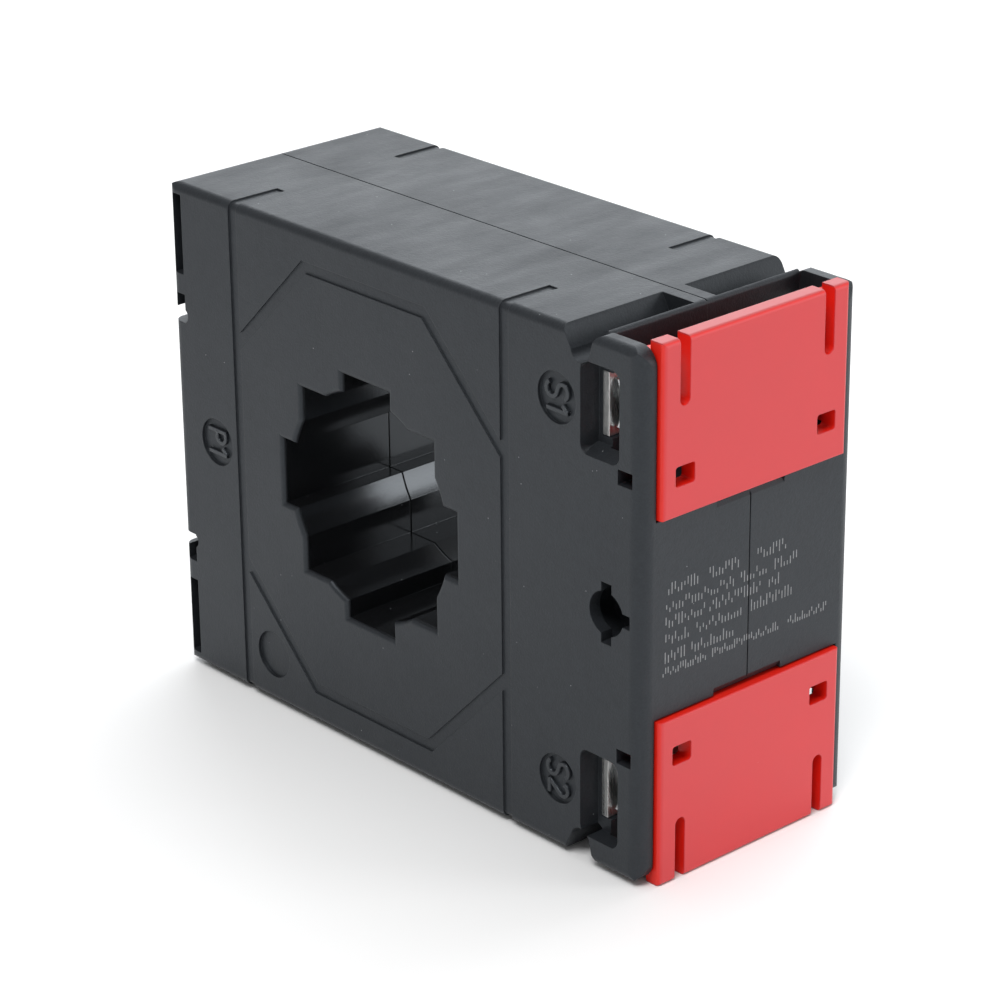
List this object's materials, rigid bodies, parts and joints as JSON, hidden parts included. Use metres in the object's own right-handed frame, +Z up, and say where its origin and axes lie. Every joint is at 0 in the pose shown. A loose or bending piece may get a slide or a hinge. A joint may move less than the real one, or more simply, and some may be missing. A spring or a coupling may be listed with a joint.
{
  "type": "window type current transformer",
  "caption": "Moulded case current transformer with a many cornered busbar window, two secondary terminals with clamp screws and hinged red terminal covers.",
  "frame": {"origin": "middle of the underside of the bounding box, with the case lying on its long side", "axes": "+X from the foot end to the terminal face, +Y along the busbar from the P1 face to the P2 face, +Z up from terminal S2 to terminal S1"},
  "size_m": [0.1122, 0.0452, 0.0876],
  "materials": {
    "case": "fine spark eroded charcoal black",
    "cover": "satin signal red",
    "core_steel": "strip wound grey",
    "core_paper": "pressboard tan",
    "winding_wire": "enamelled copper",
    "winding_tape": "yellow polyester tape",
    "cushion": "closed cell foam",
    "lead_red": "pvc",
    "lead_blue": "pvc",
    "tinned_plate": "tinned, bright",
    "nut": "zinc plated",
    "clamp": "zinc plated",
    "screw": "zinc plated"
  },
  "bodies": {
    "housing": {"front_shell": "case", "rear_shell": "case", "magnetic_core": "core_steel", "core_tape": "core_paper", "secondary_winding": "winding_wire", "outer_tape": "winding_tape", "cushion_front": "cushion", "cushion_rear": "cushion", "lead_s1": "lead_red", "lead_s2": "lead_blue", "terminal_plate_s1": "tinned_plate", "terminal_plate_s2": "tinned_plate", "nut_s1_front": "nut", "nut_s1_rear": "nut", "nut_s2_front": "nut", "nut_s2_rear": "nut"},
    "clamp_s1_front_body": {"clamp_s1_front": "clamp"},
    "clamp_s1_rear_body": {"clamp_s1_rear": "clamp"},
    "clamp_s2_front_body": {"clamp_s2_front": "clamp"},
    "clamp_s2_rear_body": {"clamp_s2_rear": "clamp"},
    "screw_s1_front_body": {"screw_s1_front": "screw"},
    "screw_s1_rear_body": {"screw_s1_rear": "screw"},
    "screw_s2_front_body": {"screw_s2_front": "screw"},
    "screw_s2_rear_body": {"screw_s2_rear": "screw"},
    "cover_s1_body": {"cover_s1": "cover"},
    "cover_s2_body": {"cover_s2": "cover"}
  },
  "joints": [
    {"name": "cover_s1_hinge", "type": "hinge", "parent": "housing", "child": "cover_s1_body", "pos_m": [0.0518, 0, 0.084], "axis": [0, -1, 0], "range_deg": [0, 110]},
    {"name": "cover_s2_hinge", "type": "hinge", "parent": "housing", "child": "cover_s2_body", "pos_m": [0.0518, 0, 0.0036], "axis": [0, 1, 0], "range_deg": [0, 110]},
    {"name": "clamp_s1_front_slide", "type": "slide", "parent": "housing", "child": "clamp_s1_front_body", "axis": [1, 0, 0], "range_m": [0, 0.0021]},
    {"name": "screw_s1_front_turn", "type": "hinge", "parent": "clamp_s1_front_body", "child": "screw_s1_front_body", "pos_m": [0.0469, -0.01365, 0.0752], "axis": [1, 0, 0], "range_deg": [0, 1090]},
    {"name": "clamp_s1_rear_slide", "type": "slide", "parent": "housing", "child": "clamp_s1_rear_body", "axis": [1, 0, 0], "range_m": [0, 0.0021]},
    {"name": "screw_s1_rear_turn", "type": "hinge", "parent": "clamp_s1_rear_body", "child": "screw_s1_rear_body", "pos_m": [0.0469, 0.01365, 0.0752], "axis": [1, 0, 0], "range_deg": [0, 1090]},
    {"name": "clamp_s2_front_slide", "type": "slide", "parent": "housing", "child": "clamp_s2_front_body", "axis": [1, 0, 0], "range_m": [0, 0.0021]},
    {"name": "screw_s2_front_turn", "type": "hinge", "parent": "clamp_s2_front_body", "child": "screw_s2_front_body", "pos_m": [0.0469, -0.01365, 0.0124], "axis": [1, 0, 0], "range_deg": [0, 1090]},
    {"name": "clamp_s2_rear_slide", "type": "slide", "parent": "housing", "child": "clamp_s2_rear_body", "axis": [1, 0, 0], "range_m": [0, 0.0021]},
    {"name": "screw_s2_rear_turn", "type": "hinge", "parent": "clamp_s2_rear_body", "child": "screw_s2_rear_body", "pos_m": [0.0469, 0.01365, 0.0124], "axis": [1, 0, 0], "range_deg": [0, 1090]}
  ],
  "couplings": [
    {"joint": "screw_s1_front_turn", "follows": "clamp_s1_front_slide", "rad_per_m": 8976},
    {"joint": "screw_s1_rear_turn", "follows": "clamp_s1_rear_slide", "rad_per_m": 8976},
    {"joint": "screw_s2_front_turn", "follows": "clamp_s2_front_slide", "rad_per_m": 8976},
    {"joint": "screw_s2_rear_turn", "follows": "clamp_s2_rear_slide", "rad_per_m": 8976}
  ]
}
